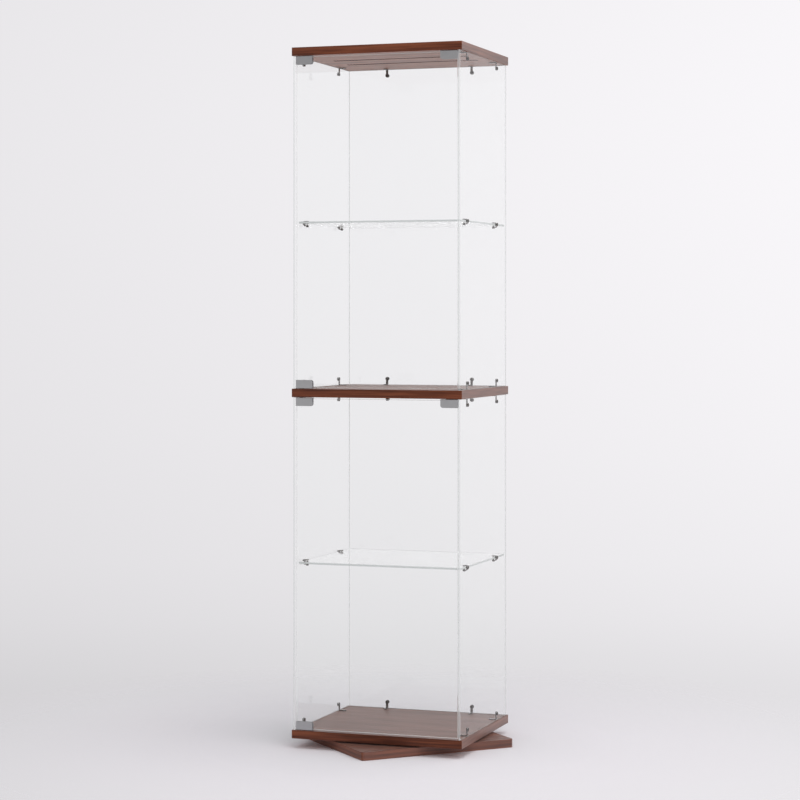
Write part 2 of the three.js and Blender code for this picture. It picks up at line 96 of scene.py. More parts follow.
class BoardSettings(bpy.types.PropertyGroup):
    edge_radius: FloatProperty(
        name="Edge radius", description="Rounding of the long edges of each board",
        default=0.4 * MM, min=0.2 * MM, max=3 * MM, unit="LENGTH")
    corner_radius: FloatProperty(
        name="Corner radius", description="Rounding of the upright corners of the case boards",
        default=2 * MM, min=1 * MM, max=20 * MM, unit="LENGTH")
    base_corner_radius: FloatProperty(
        name="Base corner radius", description="Rounding of the upright corners of the base plate",
        default=6.5 * MM, min=1 * MM, max=20 * MM, unit="LENGTH")
    base_turn: FloatProperty(
        name="Base turn", description="How far the base plate is turned under the case",
        default=math.radians(45.3), subtype="ANGLE")
    slot_width: FloatProperty(
        name="Slot width", description="Width of one vent slot",
        default=5 * MM, unit="LENGTH")
    slot_length: FloatProperty(
        name="Slot length", description="Length of one vent slot",
        default=15 * MM, unit="LENGTH")
    slot_pitch: FloatProperty(
        name="Slot pitch", description="Distance from one vent slot to the next",
        default=7.75 * MM, unit="LENGTH")
    slot_row: FloatProperty(
        name="Row distance", description="Distance of each row of vent slots from the middle",
        default=47 * MM, unit="LENGTH")
    slot_shift: FloatProperty(
        name="Row shift", description="How far the rows stand to the right of the middle",
        default=8 * MM, unit="LENGTH")
    slot_count: IntProperty(
        name="Slots in a row", description="Number of vent slots in each row", default=43, min=1)
    dark_grain: FloatVectorProperty(
        name="Dark grain", description="Darkest colour of the wood foil",
        default=(0.068, 0.0175, 0.008), subtype="COLOR", min=0, max=1)
    wood: FloatVectorProperty(
        name="Wood", description="Main colour of the wood foil",
        default=(0.122, 0.033, 0.014), subtype="COLOR", min=0, max=1)
    light_grain: FloatVectorProperty(
        name="Light grain", description="Lightest colour of the wood foil",
        default=(0.19, 0.055, 0.024), subtype="COLOR", min=0, max=1)


class GlassSettings(bpy.types.PropertyGroup):
    arris: FloatProperty(
        name="Arris", description="Width of the ground edge of each pane",
        default=0.9 * MM, unit="LENGTH")
    tint: FloatVectorProperty(
        name="Tint", description="Colour of light that has passed through one pane",
        default=(0.997, 1.0, 0.998), subtype="COLOR", min=0, max=1)
    lamp_tint: FloatVectorProperty(
        name="Lamp tint", description="Share of the lamps' light that one pane lets through",
        default=(0.89, 0.905, 0.9), subtype="COLOR", min=0, max=1)
    shine: FloatProperty(
        name="Shine", description="How much the panes mirror beside plain glass",
        default=0.35, min=0, max=1, subtype="FACTOR")
    wall_edge: FloatVectorProperty(
        name="Upright edge", description="Colour of the upright ground edges of walls and doors",
        default=(0.85, 0.865, 0.86), subtype="COLOR", min=0, max=1)
    # Level edges get a whiter colour than upright ones: a ground edge with a painted highlight.
    level_edge: FloatVectorProperty(
        name="Level edge", description="Colour of the level ground edges of walls and doors",
        default=(0.97, 0.985, 0.98), subtype="COLOR", min=0, max=1)
    shelf_edge: FloatVectorProperty(
        name="Shelf edge", description="Colour of the polished edges of the shelves",
        default=(0.72, 0.735, 0.73), subtype="COLOR", min=0, max=1)
    arris_colour: FloatVectorProperty(
        name="Arris colour", description="Colour of the ground arrises of all panes",
        default=(0.82, 0.835, 0.83), subtype="COLOR", min=0, max=1)


class MetalSettings(bpy.types.PropertyGroup):
    satin: FloatVectorProperty(
        name="Satin metal", description="Colour of the door clips",
        default=(0.44, 0.436, 0.448), subtype="COLOR", min=0, max=1)
    # Set far darker than polished nickel: painted shade for the dark surroundings that the brackets would
    # mirror.
    nickel: FloatVectorProperty(
        name="Nickel", description="Colour of the brackets and shelf clips",
        default=(0.17, 0.155, 0.148), subtype="COLOR", min=0, max=1)
    zinc: FloatVectorProperty(
        name="Zinc", description="Colour of the turntable rings",
        default=(0.45, 0.46, 0.47), subtype="COLOR", min=0, max=1)
    plastic: FloatVectorProperty(
        name="Dark plastic", description="Colour of the latch bodies and the ball cage",
        default=(0.03, 0.028, 0.027), subtype="COLOR", min=0, max=1)


class StageSettings(bpy.types.PropertyGroup):
    key_power: FloatProperty(
        name="Key power", description="Power of the large lamp on the right",
        default=110, min=0, unit="POWER")
    top_power: FloatProperty(
        name="Top power", description="Power of the large lamp overhead",
        default=80, min=0, unit="POWER")
    sky_level: FloatProperty(
        name="Sky level", description="Strength of the even light from all sides",
        default=0.6, min=0, max=2)
    floor_colour: FloatVectorProperty(
        name="Floor", description="Colour of the studio floor",
        default=(0.812, 0.795, 0.822), subtype="COLOR", min=0, max=1)
    lens: FloatProperty(
        name="Lens", description="Focal length of the camera",
        default=104.85, min=10, unit="CAMERA")
    frame_shift: FloatProperty(
        name="Frame shift", description="How far the level camera's frame is shifted down",
        default=-0.1063, min=-0.5, max=0.5)


# Outlines. Each is a function of how far the outline is drawn in


def turned_points(x, y, radius, start, end, steps):
    """Points on an arc about x, y, between two angles in degrees."""
    angles = [math.radians(start + (end - start) * i / steps) for i in range(steps + 1)]
    return [(x + radius * math.cos(a), y + radius * math.sin(a)) for a in angles]


def rounded_rectangle(width, depth, radius, x=0.0, y=0.0, steps=6):
    def outline(inset):
        r = max(radius - inset, LEAST_RADIUS)
        dx, dy = width / 2 - inset - r, depth / 2 - inset - r
        return [point for cx, cy, start in (
            (x + dx, y + dy, 0), (x - dx, y + dy, 90), (x - dx, y - dy, 180), (x + dx, y - dy, 270))
            for point in turned_points(cx, cy, r, start, start + 90, steps)]
    return outline


def circle(radius, x=0.0, y=0.0, steps=32):
    def outline(inset):
        return turned_points(x, y, radius - inset, 0, 360 - 360 / steps, steps - 1)
    return outline


def knurled_circle(radius, depth, teeth):
    def outline(inset):
        return [point for i in range(teeth) for share, r in (
            (0.0, radius), (0.35, radius), (0.5, radius - depth), (0.85, radius - depth))
            for point in [((r - inset) * math.cos((i + share) * math.tau / teeth),
                           (r - inset) * math.sin((i + share) * math.tau / teeth))]]
    return outline


# Places


def at(x=0.0, y=0.0, z=0.0, turn=0.0):
    """A matrix that turns about Z and then moves to a place."""
    return Matrix.Translation((x, y, z)) @ Matrix.Rotation(turn, 4, "Z")


def along(axis, spot):
    """A matrix that turns Z to an axis and then moves to a spot."""
    turn = Vector((0, 0, 1)).rotation_difference(Vector(axis)).to_matrix().to_4x4()
    return at(*spot) @ turn


def middle_of(node):
    low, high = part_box(node)
    return (low + high) / 2


# Shapes, each a bmesh


def bridge_rings(bm, rings, closed=False):
    pairs = list(zip(rings, rings[1:])) + ([(rings[-1], rings[0])] if closed else [])
    for a, b in pairs:
        for i in range(len(a)):
            j = (i + 1) % len(a)
            corners = [a[i], a[j], b[j], b[i]]
            kept = [v for k, v in enumerate(corners) if v not in corners[:k]]
            if len(kept) > 2:
                bm.faces.new(kept)


def skinned(bm, rings, closed=False, ends=False):
    """Joins rings of vertices to one skin that faces outward."""
    bridge_rings(bm, rings, closed)
    if ends:
        bm.faces.new(rings[0])
        bm.faces.new(rings[-1])
    bmesh.ops.recalc_face_normals(bm, faces=bm.faces)
    return bm


def fill_between(bm, rings):
    edges = []
    for ring in rings:
        for a, b in zip(ring, ring[1:] + ring[:1]):
            edges.append(bm.edges.get((a, b)) or bm.edges.new((a, b)))
    bmesh.ops.triangle_fill(bm, use_beauty=True, edges=edges)


def slab(outline, low, high, edge, steps=3, holes=(), hole_edge=0.25 * MM):
    """A plate between two levels with a rounded outer edge and straight holes."""
    bm = bmesh.new()

    def ring(points, z):
        return [bm.verts.new((x, y, z)) for x, y in points]

    turns = [math.radians(90 * i / steps) for i in range(steps + 1)]
    rise = [(edge * (1 - math.sin(t)), low + edge * (1 - math.cos(t))) for t in turns]
    fall = [(inset, low + high - z) for inset, z in reversed(rise)]
    outer = [ring(outline(inset), z) for inset, z in rise + fall]
    bridge_rings(bm, outer)
    walls = []
    for hole in holes:
        levels = ((-hole_edge, low), (0, low + hole_edge), (0, high - hole_edge), (-hole_edge, high))
        wall = [ring(hole(inset), z) for inset, z in levels]
        bridge_rings(bm, wall)
        walls.append(wall)
    fill_between(bm, [outer[0]] + [wall[0] for wall in walls])
    fill_between(bm, [outer[-1]] + [wall[-1] for wall in walls])
    bmesh.ops.recalc_face_normals(bm, faces=bm.faces)
    return bm


def dressed(bm, flat, arris, side, end, within=None):
    """Sets the finishes of a slab's flat faces, its arrises, the walls that face X and those that face Y."""
    for face in bm.faces:
        rise = abs(face.normal.z)
        if within is None or within(face.calc_center_median()):
            wall = end if abs(face.normal.y) > abs(face.normal.x) else side
            face.material_index = flat if rise > 0.99 else wall if rise < 0.01 else arris
    return bm


def lathe(profile, segments=32):
    """A solid of revolution about Z from pairs of radius and height. It is closed on the axis."""
    bm = bmesh.new()
    rings = []
    for radius, z in profile:
        if radius == 0:
            rings.append([bm.verts.new((0, 0, z))] * segments)
            continue
        rings.append([bm.verts.new((x, y, z)) for x, y in circle(radius, steps=segments)(0)])
    return skinned(bm, rings)


def rod(radius, low, high, segments=32):
    return lathe([(0, low), (radius, low), (radius, high), (0, high)], segments)


def hoop(section, segments=128):
    """A ring about Z from its closed section of radius and height."""
    bm = bmesh.new()
    rings = [[bm.verts.new((x, y, z)) for x, y in circle(radius, steps=segments)(0)]
             for radius, z in section]
    return skinned(bm, rings, closed=True)


def strip(stations, corner=0.4 * MM, steps=2):
    """A bent flat strip. Each station is its middle x, z, its normal x, z, half width and half thickness."""
    bm = bmesh.new()
    rings = []
    for x, z, nx, nz, half_width, half_thickness in stations:
        radius = min(corner, 0.9 * half_width)
        section = rounded_rectangle(2 * half_width, 2 * half_thickness, radius, steps=steps)(0)
        rings.append([bm.verts.new((x + v * nx, u, z + v * nz)) for u, v in section])
    return skinned(bm, rings, ends=True)


def soften(bm, width, angle=40, segments=2):
    """Rounds every edge sharper than an angle."""
    sharp = [e for e in bm.edges if len(e.link_faces) == 2 and e.calc_face_angle(0) > math.radians(angle)]
    bmesh.ops.bevel(bm, geom=sharp, offset=width, segments=segments, profile=0.5, affect="EDGES",
                    clamp_overlap=True)
    return bm


def rounded_block(low, high, edge):
    bm = bmesh.new()
    bmesh.ops.create_cube(bm, size=1)
    size = Vector(high) - Vector(low)
    bm.transform(at(*(Vector(high) + Vector(low)) / 2) @ Matrix.Diagonal(size.to_4d()))
    return soften(bm, edge)


def linked(name, data):
    """A new object in the scene."""
    made = bpy.data.objects.new(name, data)
    bpy.context.scene.collection.objects.link(made)
    return made


def carved(bm, cutter):
    """The first shape less the second one."""
    made = []
    for shape in (bm, cutter):
        mesh = bpy.data.meshes.new("carving")
        shape.to_mesh(mesh)
        shape.free()
        made.append(linked("carving", mesh))
    modifier = made[0].modifiers.new("carve", "BOOLEAN")
    modifier.operation = "DIFFERENCE"
    modifier.solver = "EXACT"
    modifier.object = made[1]
    bpy.context.view_layer.update()
    result = bmesh.new()
    result.from_object(made[0], bpy.context.evaluated_depsgraph_get())
    for item in made:
        mesh = item.data
        bpy.data.objects.remove(item)
        bpy.data.meshes.remove(mesh)
    return result


def evened(mesh):
    """The same mesh with normals that keep its large faces flat beside their rounded edges."""
    holder = linked("evening", mesh)
    modifier = holder.modifiers.new("even", "WEIGHTED_NORMAL")
    modifier.keep_sharp = True
    depsgraph = bpy.context.evaluated_depsgraph_get()
    made = bpy.data.meshes.new_from_object(holder.evaluated_get(depsgraph), depsgraph=depsgraph)
    name = mesh.name
    bpy.data.objects.remove(holder)
    bpy.data.meshes.remove(mesh)
    made.name = name
    return made


def joined_mesh(name, parts, *finishes):
    """One mesh from parts of shape, matrix and the number of its finish."""
    whole = bmesh.new()
    for shape, matrix, finish in parts:
        shape.transform(matrix)
        if matrix.determinant() < 0:
            bmesh.ops.reverse_faces(shape, faces=shape.faces)
        for face in shape.faces:
            face.material_index += finish
        step = bpy.data.meshes.new("step")
        shape.to_mesh(step)
        shape.free()
        whole.from_mesh(step)
        bpy.data.meshes.remove(step)
    mesh = bpy.data.meshes.new(name)
    whole.to_mesh(mesh)
    whole.free()
    for finish in finishes:
        mesh.materials.append(finish_of(finish))
    mesh.polygons.foreach_set("use_smooth", [True] * len(mesh.polygons))
    mesh.set_sharp_from_angle(angle=SHARP_ANGLE)
    return evened(mesh)


def place(name, mesh, body, slot, nodes=(), matrix=HERE):
    """Puts a piece where it belongs, on its body, in place of its CAD nodes."""
    piece = linked(name, mesh)
    piece.matrix_world = matrix
    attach(piece, body)
    if nodes:
        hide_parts(*nodes)


def build(name, parts, finishes, body, slot, node):
    """Joins the parts of one piece where they stand, in place of its CAD node."""
    place(name, joined_mesh(name, parts, *finishes), body, slot, [node])


# Fasteners


def cross_cutter(reach, width, top, depth):
    bm = bmesh.new()
    for turn in (0, math.pi / 2):
        arm = bmesh.ops.create_cube(bm, size=1)["verts"]
        size = Matrix.Diagonal((2 * reach, width, 2 * depth, 1))
        bmesh.ops.transform(bm, verts=arm, matrix=at(0, 0, top, turn) @ size)
    return bm


def domed(radius, height, foot, angles):
    """Points up a dome that starts at a share of its height, to its middle."""
    turns = [math.radians(a) for a in angles]
    return [(radius * math.cos(t), height * (foot + (1 - foot) * math.sin(t))) for t in turns] + [(0, height)]


def pan_head(radius, height):
    """A domed head with a cross recess. It stands on z = 0."""
    profile = [(0, -SUNK), (0.94 * radius, -SUNK), (radius, 0.06 * height), (radius, 0.3 * height)]
    profile += domed(radius, height, 0.3, (18, 36, 52, 66, 78))
    return carved(lathe(profile), cross_cutter(0.62 * radius, 0.24 * radius, height, 0.55 * height))


def socket_head(radius, height):
    """A flat head with a chamfer and a hex socket. It stands on z = 0."""
    rim = 0.18 * radius
    head = lathe([(0, -SUNK), (radius, -SUNK), (radius, height - rim), (radius - rim, height), (0, height)])
    return carved(head, rod(0.45 * radius, 0.35 * height, 2 * height, 6))


def cap(radius, height):
    """A shallow domed cap on a thin washer. It stands on z = 0."""
    dome = 0.86 * radius
    profile = [(0, 0), (radius, 0), (radius, 0.25 * height), (0.97 * radius, 0.32 * height),
               (dome, 0.34 * height)]
    return lathe(profile + domed(dome, height, 0.36, (12, 28, 44, 60, 75)))


def wood_screw(radius, low, high):
    """A tapered shank with a thread, from its tip up to its head."""
    turns = 7
    profile = [(0, low)]
    for i in range(turns):
        share = i / (turns - 1)
        z = low + (high - low) * (0.12 + 0.76 * share)
        core = radius * (0.35 + 0.35 * min(1, 2 * share))
        profile += [(core, z - FLANK), (core + 0.28 * radius, z), (core, z + FLANK)]
    return lathe(profile + [(0.7 * radius, high), (0, high)], 16)


def board_screw(axis, spot, plate, finish):
    """The parts of a screw whose head rests at a spot, on a plate on a board. The axis points out of it."""
    turn = along(axis, spot)
    screw = wood_screw(SCREW_RADIUS, -SCREW_DEPTH - plate, 0)
    return [(pan_head(HEAD_RADIUS, HEAD_HEIGHT), turn, finish), (screw, turn, finish)]


def glass_bolt(end, z=0.0):
    """The parts of a bolt through a glass wall along X at a height, with its cap outside."""
    outside = -(GLASS + SEAT)
    return [(rod(SHANK_RADIUS, outside, end, 24), along((1, 0, 0), (0, 0, z)), 0),
            (cap(CAP_RADIUS, CAP_HEIGHT), along((-1, 0, 0), (outside, 0, z)), 0)]


# Finishes


class Nodes:
    """The shader nodes of a finish or of the studio's backdrop."""

    def __init__(self, tree):
        self.tree = tree

    def feed(self, node, inputs):
        """Links a node's inputs to sockets, or sets them to values."""
        for key, value in inputs.items():
            if isinstance(value, bpy.types.NodeSocket):
                self.tree.links.new(value, node.inputs[key])
            else:
                node.inputs[key].default_value = value

    def node(self, kind, inputs=None, **settings):
        made = self.tree.nodes.new("ShaderNode" + kind)
        for key, value in settings.items():
            setattr(made, key, value)
        self.feed(made, inputs or {})
        return made

    def split(self, source):
        return self.node("SeparateXYZ", {"Vector": source}).outputs

    def ranged(self, source, low, high, to_low=0.0, to_high=1.0):
        inputs = {"From Min": low, "From Max": high, "To Min": to_low, "To Max": to_high, "Value": source}
        return self.node("MapRange", inputs).outputs["Result"]

    def math(self, operation, a, b=0.0, clamp=False):
        return self.node("Math", {0: a, 1: b}, operation=operation, use_clamp=clamp).outputs["Value"]

    def mixed(self, share, first, second):
        return self.node("MixShader", {0: share, 1: first, 2: second}).outputs["Shader"]

    def ramp(self, source, stops, interpolation="LINEAR"):
        """Colours from a pattern. Each stop is its place and its colour."""
        made = self.node("ValToRGB", {"Fac": source})
        made.color_ramp.interpolation = interpolation
        elements = made.color_ramp.elements
        while len(elements) < len(stops):
            elements.new(0.5)
        for element, (place, colour) in zip(elements, stops):
            element.position = place
            element.color = (*colour, 1)
        return made.outputs["Color"]


class Finish(Nodes):
    """A node material for one finish."""

    def __init__(self, name):
        self.material = bpy.data.materials.new(name)
        self.material.use_nodes = True
        super().__init__(self.material.node_tree)
        self.shader = self.tree.nodes["Principled BSDF"]
        self.output = self.tree.nodes["Material Output"]

    def set(self, **values):
        self.feed(self.shader, {key.replace("_", " "): value for key, value in values.items()})

    def place_of(self):
        return self.node("TexCoord").outputs["Object"]

    def scaled(self, source, scale):
        return self.node("Mapping", {"Scale": scale, "Vector": source}).outputs["Vector"]

    def turned(self, source, angle):
        return self.node("Mapping", {"Rotation": (0, 0, -angle), "Vector": source}).outputs["Vector"]

    def noise(self, scale, detail=2.0, roughness=0.5, distortion=0.0, source=None):
        source = self.place_of() if source is None else source
        inputs = {"Scale": scale, "Detail": detail, "Roughness": roughness, "Distortion": distortion}
        return self.node("TexNoise", {**inputs, "Vector": source}).outputs["Fac"]

    def two_tones(self, pattern, colour, low, high, dark, light):
        """Base colour from a pattern: one share of a colour at its low places, another at its high ones."""
        stops = ((low, scaled_colour(colour, dark)), (high, scaled_colour(colour, light)))
        self.set(Base_Color=self.ramp(pattern, stops))

    def bump(self, height, strength, distance):
        inputs = {"Strength": strength, "Distance": distance * MM, "Height": height}
        self.set(Normal=self.node("Bump", inputs).outputs["Normal"])


def scaled_colour(colour, share):
    return tuple(min(1.0, share * value) for value in colour)


def wood_finish(f, settings, turn, front):
    """Red-brown wood foil on a board that is turned about Z, grain along each edge, under a satin lacquer."""
    coordinates = f.node("TexCoord").outputs
    place = f.turned(coordinates["Object"], turn)
    facing = f.split(f.turned(coordinates["Normal"], turn))
    spot = f.split(place)
    crossed = f.node("CombineXYZ", {"X": spot["Y"], "Y": spot["X"], "Z": spot["Z"]}).outputs["Vector"]
    sideways = f.math("GREATER_THAN", f.math("ABSOLUTE", facing["X"]), 0.75)
    way = f.node("Mix", {"Factor": sideways, "A": place, "B": crossed}, data_type="VECTOR").outputs["Result"]
    broad = f.noise(1, 3, 0.55, 0.5, source=f.scaled(way, (3.2, 46, 46)))
    streaks = f.noise(1, 4, 0.6, 0.3, source=f.scaled(way, (7, 240, 240)))
    pores = f.noise(1, 2, 0.6, source=f.scaled(way, (90, 1500, 1500)))
    grain = f.math("ADD", f.math("MULTIPLY", broad, 0.4), f.math("MULTIPLY", streaks, 0.6))
    dark = f.ranged(pores, 0.28, 0.42, 0.82, 1.0)
    colour = f.ramp(grain, ((0.4, settings.dark_grain), (0.5, settings.wood), (0.61, settings.light_grain)))
    # Faces turned down get a base colour up to 2.5 times lighter: painted light bounced up from the floor.
    painted_underlight = f.ranged(facing["Z"], -1.0, -0.5, 2.5, 1.0)
    shade = {0: colour, "Scale": f.math("MULTIPLY", dark, painted_underlight)}
    f.set(Base_Color=f.node("VectorMath", shade, operation="SCALE").outputs["Vector"])
    f.set(Roughness=f.ranged(f.math("MULTIPLY", grain, dark), 0.3, 0.7, 0.48, 0.36))
    upright = f.math("ABSOLUTE", facing["Z"])
    banded = f.math("MULTIPLY", f.math("SUBTRACT", 1, upright), f.ranged(facing["X"], -0.9, 0.0))
    grazing = f.ranged(f.node("LayerWeight").outputs["Facing"], 0.05, 0.65, 0.0, 1.1)
    sides = f.math("MULTIPLY", banded, grazing)
    ahead = f.ranged(facing["Y"], -0.9, -0.4, 0.16 + front, 0.16)
    level = f.math("MULTIPLY", upright, f.ranged(facing["Z"], -1.0, 1.0, 0.76, 0.32))
    f.set(Specular_IOR_Level=f.math("ADD", f.math("ADD", sides, ahead), level), IOR=1.5)
    f.set(Specular_Tint=(1.0, 0.94, 0.92, 1.0))
    f.set(Sheen_Weight=0.13, Sheen_Roughness=0.5, Sheen_Tint=(1.0, 0.85, 0.8, 1.0))
    f.bump(f.math("ADD", f.math("MULTIPLY", streaks, 0.5), dark), 0.12, 0.1)


def core_and_slot_shade_finish(f, colour):
    """The core of a board, bare in the vent slots, with a dark colour that paints the shade inside the slots.
    """
    chips = f.noise(700, 3, 0.6)
    f.two_tones(chips, colour, 0.35, 0.65, 0.25, 0.55)
    f.set(Roughness=f.ranged(chips, 0.3, 0.7, 0.75, 0.95), Specular_IOR_Level=0.1)
    f.bump(chips, 0.3, 0.2)


def glass_finish(f, settings):
    """Clear low-reflection float glass. Light from the lamps passes straight through it."""
    f.set(Roughness=0.0, Transmission_Weight=1.0, IOR=GLASS_IOR)
    f.two_tones(f.noise(9, 3, 0.6), settings.tint, 0.35, 0.75, 1.0, 0.99)
    bend = f.node("BsdfRefraction", {"Color": (*settings.tint, 1), "Roughness": 0.0, "IOR": GLASS_IOR})
    clear = f.node("BsdfTransparent", {"Color": (*settings.lamp_tint, 1)}).outputs["BSDF"]
    shader = f.mixed(settings.shine, bend.outputs["BSDF"], f.shader.outputs["BSDF"])
    trapped = f.math("GREATER_THAN", f.node("Fresnel", {"IOR": GLASS_IOR}).outputs["Fac"], 0.98)
    path = f.node("LightPath").outputs
    for share in (trapped, path["Is Diffuse Ray"], path["Is Shadow Ray"]):
        shader = f.mixed(share, shader, clear)
    f.feed(f.output, {"Surface": shader})


def edge_finish(f, colour, cover):
    """The fine-ground edge of a pane, which scatters light and lets a share of it through."""
    grind = f.noise(1600, 2, 0.6)
    f.two_tones(grind, colour, 0.35, 0.65, 0.97, 1.03)
    f.set(Alpha=cover, Roughness=f.ranged(grind, 0.3, 0.7, 0.3, 0.42))
    f.bump(grind, 0.05, 0.03)


def satin_finish(f, colour):
    """Fine bead-blasted metal with a faint brushed direction."""
    brushed = f.noise(1, source=f.scaled(f.place_of(), (60, 2600, 2600)))
    cloud = f.noise(55)
    tone = f.math("ADD", f.math("MULTIPLY", brushed, 0.5), f.math("MULTIPLY", cloud, 0.5))
    f.two_tones(tone, colour, 0.3, 0.7, 0.94, 1.06)
    f.set(Metallic=1.0, Roughness=f.ranged(tone, 0.3, 0.7, 0.36, 0.46))
    f.bump(brushed, 0.08, 0.05)


def nickel_finish(f, colour):
    """Polished nickel plate with a little wear. Its colour is darkened as painted shade for what it would
    mirror.
    """
    cloud = f.noise(160, 3, 0.6)
    f.two_tones(cloud, colour, 0.35, 0.65, 0.86, 1.08)
    f.set(Metallic=1.0, Roughness=f.ranged(cloud, 0.35, 0.65, 0.08, 0.18))
    f.bump(f.noise(1800), 0.05, 0.03)


def zinc_finish(f, colour):
    """Zinc plate with its crystals."""
    cells = f.node("TexVoronoi", {"Scale": 220, "Vector": f.place_of()}).outputs["Color"]
    tone = f.node("RGBToBW", {"Color": cells}).outputs["Val"]
    f.two_tones(tone, colour, 0.2, 0.8, 0.85, 1.12)
    f.set(Metallic=1.0, Roughness=f.ranged(tone, 0.2, 0.8, 0.38, 0.52))
    f.bump(f.noise(900), 0.06, 0.05)


def plastic_finish(f, colour):
    """Moulded dark plastic with a fine spark-eroded texture."""
    grain = f.noise(2400, 2, 0.6)
    f.two_tones(f.noise(40), colour, 0.3, 0.7, 0.85, 1.2)
    f.set(Roughness=f.ranged(grain, 0.3, 0.7, 0.48, 0.62))
    f.bump(grain, 0.18, 0.08)


def nylon_finish(f):
    """Off-white nylon of the bushes and clamp tips."""
    cloud = f.noise(300)
    f.set(Base_Color=f.ramp(cloud, ((0.3, (0.62, 0.6, 0.55)), (0.7, (0.72, 0.7, 0.66)))))
    f.set(Roughness=f.ranged(cloud, 0.3, 0.7, 0.42, 0.55))
    f.bump(cloud, 0.05, 0.05)


def finish_of(name):
    """The named finish, made when it is first asked for."""
    found = bpy.data.materials.get(name)
    if found:
        return found
    scene = bpy.context.scene
    boards, glass, metal = scene.cabinet_boards, scene.cabinet_glass, scene.cabinet_metal
    maker, *values = {
        "wood_foil": (wood_finish, boards, 0, 0),
        "base_wood_foil": (wood_finish, boards, boards.base_turn, 0.7),
        "slot_core": (core_and_slot_shade_finish, boards.dark_grain),
        "wall_edge": (edge_finish, glass.wall_edge, 0.3),
        # Near full cover on the level edges, part of their painted highlight.
        "level_edge": (edge_finish, glass.level_edge, 0.95),
        "shelf_edge": (edge_finish, glass.shelf_edge, 0.9),
        "ground_arris": (edge_finish, glass.arris_colour, 0.45),
        "clear_glass": (glass_finish, glass),
        "blasted_metal": (satin_finish, metal.satin),
        "nickel_plate": (nickel_finish, metal.nickel),
        "zinc_plate": (zinc_finish, metal.zinc),
        "dark_plastic": (plastic_finish, metal.plastic),
        "nylon": (nylon_finish,),
    }[name]
    made = Finish(name)
    maker(made, *values)
    return made.material


# Pieces


class CABINET_OT_boards(bpy.types.Operator):
    """Add the base plate and the three case boards, with rounded edges and vent slots"""
    bl_idname = "cabinet.boards"
    bl_label = "Boards"

    def execute(self, context):
        settings = context.scene.cabinet_boards
        edge = settings.edge_radius
        low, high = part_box("base_plate")
        turn, corner = settings.base_turn, settings.base_corner_radius
        side = (high.x - low.x - 2 * corner) / (math.cos(turn) + math.sin(turn)) + 2 * corner
        plate = slab(rounded_rectangle(side, side, corner, steps=8), low.z, high.z, edge)
        build("base_board", [(plate, at(turn=turn), 0)], ["base_wood_foil"], "base", "board", "base_plate")

        start = settings.slot_shift - (settings.slot_count - 1) * settings.slot_pitch / 2
        vents = [rounded_rectangle(settings.slot_width, settings.slot_length, SLOT_CORNER,
                                   start + i * settings.slot_pitch, y, steps=3)
                 for y in (-settings.slot_row, settings.slot_row) for i in range(settings.slot_count)]
        half_row = settings.slot_row + settings.slot_length
        ring_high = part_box("turntable_upper_ring")[1]
        for node in ("bottom_panel", "middle_panel", "top_panel"):
            low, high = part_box(node)
            outline = rounded_rectangle(high.x - low.x, high.y - low.y, settings.corner_radius)
            holes = vents if node == "top_panel" else ()
            shape = slab(outline, low.z, high.z, edge, holes=holes, hole_edge=SLOT_EDGE)
            if holes:
                # The slot walls get the dark core finish, which paints the shade inside the slots.
                dressed(shape, 0, 1, 1, 1,
                        lambda spot: abs(spot.y) < half_row and abs(spot.x) < high.x - 2 * edge)
            if node == "bottom_panel":
                shape = carved(shape, rod(ring_high.x + RECESS_GAP, low.z - MM, ring_high.z + SEAT, 96))
            finishes = ("wood_foil", "slot_core")
            build(node.replace("panel", "board"), [(shape, HERE, 0)], finishes, "case", "board", node)
        return {"FINISHED"}


def race_groove(level, depth):
    """Points across the ball race of a ring, whose face is at a level."""
    turns = [math.radians(a) for a in range(0, 181, 30)]
    return [(RACE_RADIUS + RACE_REACH * math.cos(t), level + depth * math.sin(t)) for t in turns]


